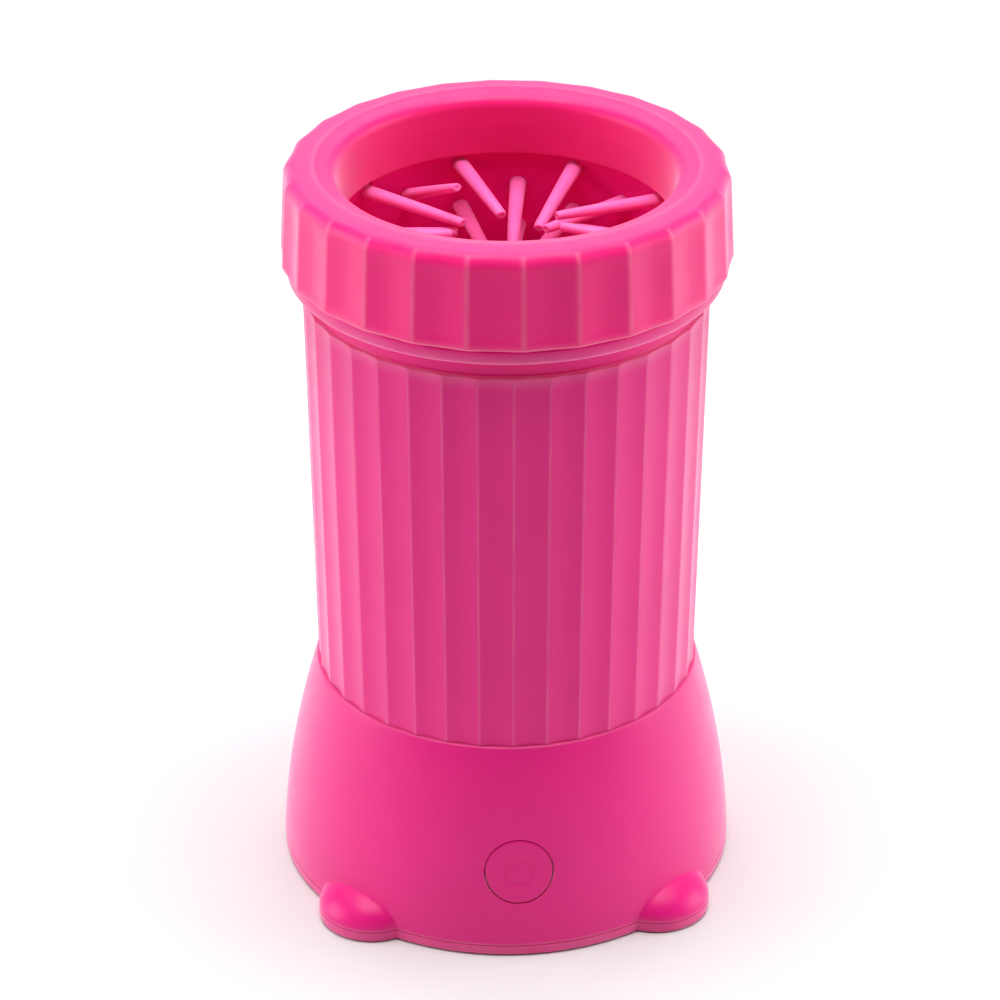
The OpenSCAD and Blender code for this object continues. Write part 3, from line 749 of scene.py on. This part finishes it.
def make_plug():
    """The soft plug over the charge port: a rounded flap with a finger dimple at its free end."""
    low, high = PLUG_LOW, PLUG_HIGH
    middle_z = (low[2] + high[2]) / 2
    columns, rows = 44, 24

    def outer_point(u, v):
        """A point of the outer face, which follows the bell. u and v go from 0 to 1 over the flap."""
        x = low[0] + (high[0] - low[0]) * u
        z = low[2] + (high[2] - low[2]) * v
        from_edge = min(x - low[0], high[0] - x, z - low[2], high[2] - z)
        drop = 0.35 * (1 - smooth(0.0, 0.6, from_edge))
        dimple = 0.45 * (1 - smooth(1.2, 2.6, math.hypot(x - high[0] + 4.0, z - middle_z)))
        return x, math.sqrt(bell_radius(z) ** 2 - x ** 2) - drop - dimple, z

    def index(i, j):
        return i * (rows + 1) + j

    # both directions are finer towards the edges
    us = [0.5 - 0.5 * math.cos(math.pi * k / columns) for k in range(columns + 1)]
    vs = [0.5 - 0.5 * math.cos(math.pi * k / rows) for k in range(rows + 1)]
    outer = [outer_point(u, v) for u in us for v in vs]
    inner = [(x, POCKET_Y + 0.2, z) for x, _, z in outer]
    faces = [(index(i, j), index(i + 1, j), index(i + 1, j + 1), index(i, j + 1))
             for i in range(columns) for j in range(rows)]
    shift = len(outer)
    faces += [tuple(shift + v for v in reversed(f)) for f in list(faces)]
    border = [index(i, 0) for i in range(columns)] + [index(columns, j) for j in range(rows)]
    border += [index(i, rows) for i in range(columns, 0, -1)] + [index(0, j) for j in range(rows, 0, -1)]
    faces += [(a, b, b + shift, a + shift) for a, b in zip(border, border[1:] + border[:1])]
    flap = mesh_object("plug_flap", outer + inner, faces)
    prong = rounded_box("prong", (-4.2, POCKET_Y - 0.2, PORT_Z - 1.4),
                        (4.2, POCKET_Y + 0.5, PORT_Z + 1.4), 0.3)
    combine(flap, "UNION", [prong])
    place(flap, "port_plug", "collar_silicone")


# ---------------------------------------------------------------- stage, light and camera

def make_stage():
    """A plain pale floor, in metres, that curves up into a backdrop behind the washer."""
    depth, width, rise, bend = 2.2, 4.0, 2.6, 0.8
    profile = [(-depth, 0.0), (depth - bend, 0.0)]
    profile += [(depth - bend + bend * math.sin(a), bend - bend * math.cos(a))
                for a in [math.radians(7.5 * k) for k in range(1, 13)]]
    profile.append((depth, rise))
    points = [(x, y, z) for x in (-width, width) for y, z in profile]
    n = len(profile)
    mesh = bpy.data.meshes.new("floor")
    mesh.from_pydata(points, [], [(k, n + k, n + k + 1, k + 1) for k in range(n - 1)])
    mesh.polygons.foreach_set("use_smooth", [True] * len(mesh.polygons))
    floor = in_scene("floor", mesh)
    surface = Surface("floor_paper")
    greys = [(0.3, (0.71, 0.71, 0.71)), (0.7, (0.73, 0.73, 0.73))]
    surface.join(surface.ramp(surface.noise(6.0, 2.0), greys), "Base Color")
    surface.set({"Roughness": 0.9, "Specular IOR Level": 0.1})
    floor.data.materials.append(surface.material)


def softbox(name, place_at, aim_at, size, power):
    """A rectangular area light, with its place and size in metres and its power in watts."""
    light = bpy.data.lights.new(name, "AREA")
    light.shape = "RECTANGLE"
    light.size, light.size_y = size
    light.energy = power
    lamp = in_scene(name, light)
    lamp.location = place_at
    lamp.rotation_euler = (Vector(aim_at) - Vector(place_at)).to_track_quat("-Z", "Y").to_euler()


def make_light():
    """Softboxes to the left and right, one overhead, one over the backdrop, and a dim surrounding."""
    middle = (0.0, 0.0, 0.08)
    softbox("left_box", (-0.74, 0.0, 0.27), middle, (0.5, 0.5), 3.6)
    softbox("right_box", (0.74, 0.0, 0.27), middle, (0.5, 0.5), 3.6)
    softbox("top_box", (0.0, 0.0, 1.2), middle, (0.9, 0.8), 16.5)
    softbox("back_box", (0.0, 1.2, 1.3), (0.0, 0.75, 0.0), (1.6, 0.8), 11.0)
    world = bpy.data.worlds.new("pale_room")
    world.use_nodes = True
    background = world.node_tree.nodes["Background"]
    background.inputs["Color"].default_value = (1.0, 1.0, 1.0, 1.0)
    background.inputs["Strength"].default_value = 0.1
    bpy.context.scene.world = world
    bpy.context.scene.view_settings.view_transform = "Standard"


def make_camera():
    """The photograph's viewing angle: 29 degrees down, from slightly left of the button."""
    azimuth, pitch, distance = math.radians(-3.2), math.radians(28.95), 0.830
    aim, nudge_left = Vector((0, 0, 0.085)), 0.0014
    back = Vector((math.sin(azimuth) * math.cos(pitch), -math.cos(azimuth) * math.cos(pitch),
                   math.sin(pitch)))
    right = Vector((math.cos(azimuth), math.sin(azimuth), 0.0))
    camera = in_scene("camera", bpy.data.cameras.new("camera"))
    camera.data.lens = 137.9
    camera.data.sensor_width = 36.0
    camera.location = aim - nudge_left * right + back * distance
    camera.rotation_mode = "QUATERNION"
    camera.rotation_quaternion = (-back).to_track_quat("-Z", "Y")
    bpy.context.scene.camera = camera


make_camera()
finish_cad_nodes()
make_collar()
make_cup()
make_base()
make_cover()
make_button()
make_liner()
make_plug()
make_stage()
make_light()
